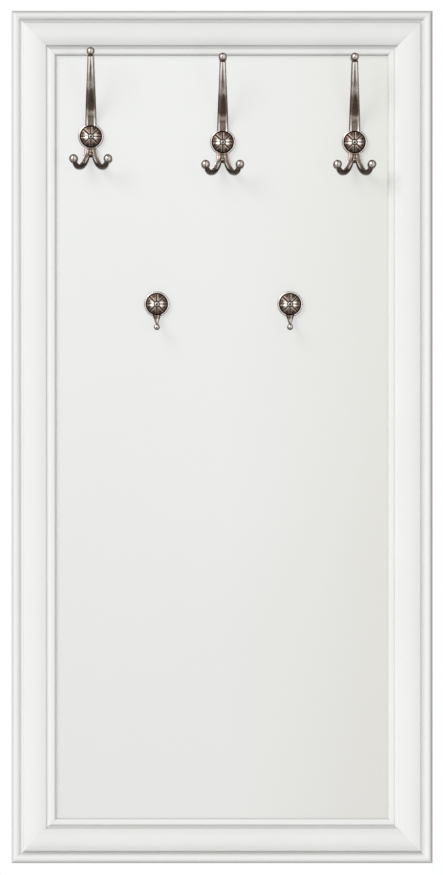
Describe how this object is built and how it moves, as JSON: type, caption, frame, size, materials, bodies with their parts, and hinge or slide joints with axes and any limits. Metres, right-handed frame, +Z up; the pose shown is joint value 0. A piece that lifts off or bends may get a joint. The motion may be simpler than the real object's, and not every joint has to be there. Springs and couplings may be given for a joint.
{
  "type": "mirror with hooks",
  "caption": "Tall rectangular wall mirror in a wide stepped and mitred frame, with double coat hooks and smaller single hooks fixed through the glass.",
  "frame": {"origin": "midway between the entry holes of the two keyhole hanger plates, on the wall plane", "axes": "+X to the viewer's right, +Y into the wall, +Z up; the glass faces -Y"},
  "size_m": [0.6, 0.0863, 1.215],
  "materials": {
    "white_foil": "smooth satin white foil over a wood-fibre moulding",
    "bare_wood": "plain beech",
    "zinc_plated_steel": "bright zinc plate",
    "passivated_screws": "yellow passivated",
    "silvered_glass": "silvered float glass",
    "foam_tape": "black foam tape",
    "fibreboard": "bare medium-density fibreboard",
    "black_rubber": "matt",
    "felt": "dense grey felt",
    "antique_silver": "antique silver plate, dark in the hollows and rubbed bright on the edges",
    "clear_plastic": "soft translucent washer",
    "white_nylon": "natural nylon"
  },
  "bodies": {
    "root": {"frame_top_rail": "white_foil", "frame_bottom_rail": "white_foil", "frame_left_stile": "white_foil", "frame_right_stile": "white_foil", "mitre_splines": "bare_wood", "corner_plate_top_left": "zinc_plated_steel", "corner_plate_top_right": "zinc_plated_steel", "corner_plate_bottom_left": "zinc_plated_steel", "corner_plate_bottom_right": "zinc_plated_steel", "corner_plate_screws": "passivated_screws", "mirror_glass": "silvered_glass", "mounting_tapes": "foam_tape", "backing_board": "fibreboard", "setting_blocks": "black_rubber", "side_spacers": "black_rubber", "board_clips": "zinc_plated_steel", "board_clip_screws": "passivated_screws", "hanger_plate_left": "zinc_plated_steel", "hanger_plate_right": "zinc_plated_steel", "hanger_screws": "passivated_screws", "wall_bumpers": "felt", "coat_hook_left": "antique_silver", "coat_hook_centre": "antique_silver", "coat_hook_right": "antique_silver", "coat_rosette_left": "antique_silver", "coat_rosette_centre": "antique_silver", "coat_rosette_right": "antique_silver", "small_hook_left": "antique_silver", "small_hook_right": "antique_silver", "small_rosette_left": "antique_silver", "small_rosette_right": "antique_silver", "coat_hook_pads": "clear_plastic", "small_hook_pads": "clear_plastic", "coat_hook_screws": "passivated_screws", "small_hook_screws": "passivated_screws", "glass_sleeves": "white_nylon", "tee_nuts": "zinc_plated_steel"}
  },
  "joints": []
}
